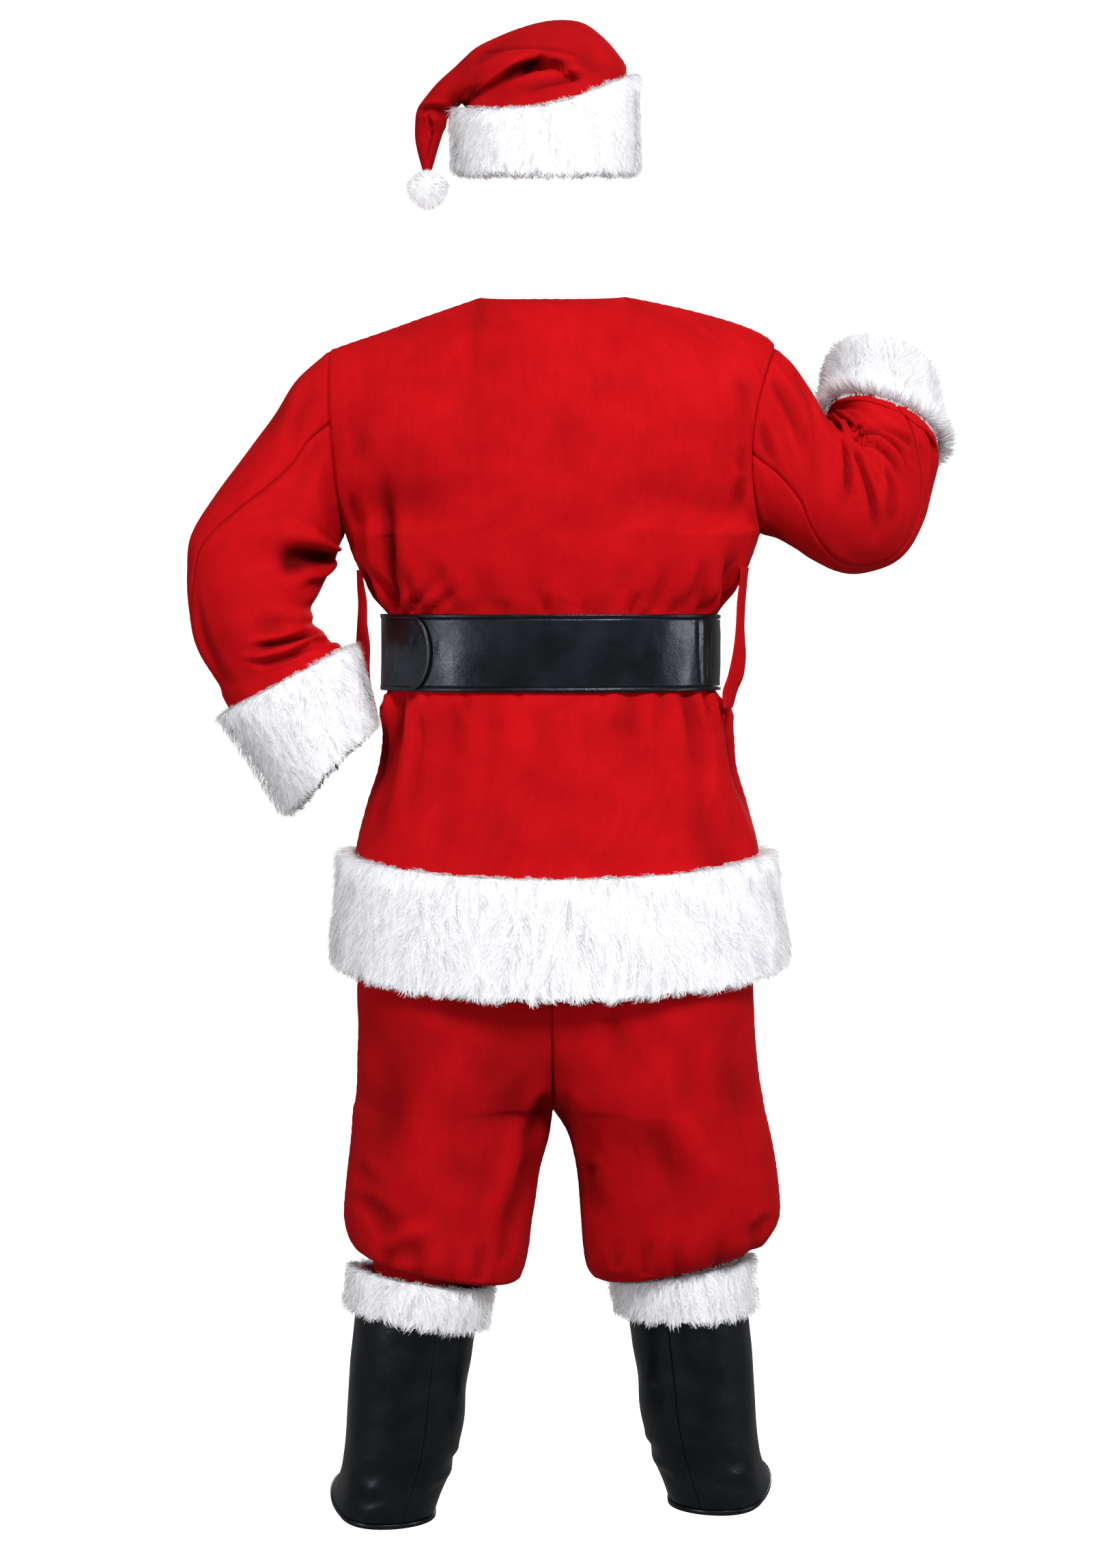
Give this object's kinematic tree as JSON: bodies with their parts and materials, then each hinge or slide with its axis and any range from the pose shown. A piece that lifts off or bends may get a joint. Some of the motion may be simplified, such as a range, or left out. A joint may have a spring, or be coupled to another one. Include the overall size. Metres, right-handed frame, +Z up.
{
  "type": "santa suit",
  "caption": "Worn-form costume: drooping hat, fur-trimmed belted jacket with one arm raised, bloused knee trousers and fur-topped boot covers, hollow inside.",
  "frame": {"origin": "between the shoulders at the base of the neck, where the wearer's shoulders carry the suit; the middle of the neckline lies just above it", "axes": "+Z up, +Y the way the wearer faces, +X the wearer's right"},
  "size_m": [0.9315, 0.4311, 1.8136],
  "materials": {
    "velvet": "brushed velvet, soft nap with a faint sheen",
    "fur": "long white faux fur",
    "leatherette": "satin black leatherette with folded binding",
    "brass": "polished"
  },
  "bodies": {
    "root": {"belt_binding": "leatherette", "belt_buckle_bar": "brass", "belt_buckle_frame": "brass", "belt_buckle_prong": "brass", "belt_eyelet_1": "brass", "belt_eyelet_2": "brass", "belt_loop_left": "velvet", "belt_loop_right": "velvet", "belt_strap": "leatherette", "boot_left_binding": "leatherette", "boot_left_fur": "fur", "boot_left_inner": "leatherette", "boot_left_outer": "leatherette", "boot_right_binding": "leatherette", "boot_right_fur": "fur", "boot_right_inner": "leatherette", "boot_right_outer": "leatherette", "cuff_fur_left": "fur", "cuff_fur_right": "fur", "hat_fur_band": "fur", "hat_panel_back": "velvet", "hat_panel_front": "velvet", "hat_pompom": "fur", "jacket_back": "velvet", "jacket_front_left": "velvet", "jacket_front_right": "velvet", "jacket_hem_fur": "fur", "sleeve_left_top": "velvet", "sleeve_left_under": "velvet", "sleeve_right_top": "velvet", "sleeve_right_under": "velvet", "trouser_left_back": "velvet", "trouser_left_front": "velvet", "trouser_right_back": "velvet", "trouser_right_front": "velvet", "trouser_waistband": "velvet"}
  },
  "joints": []
}
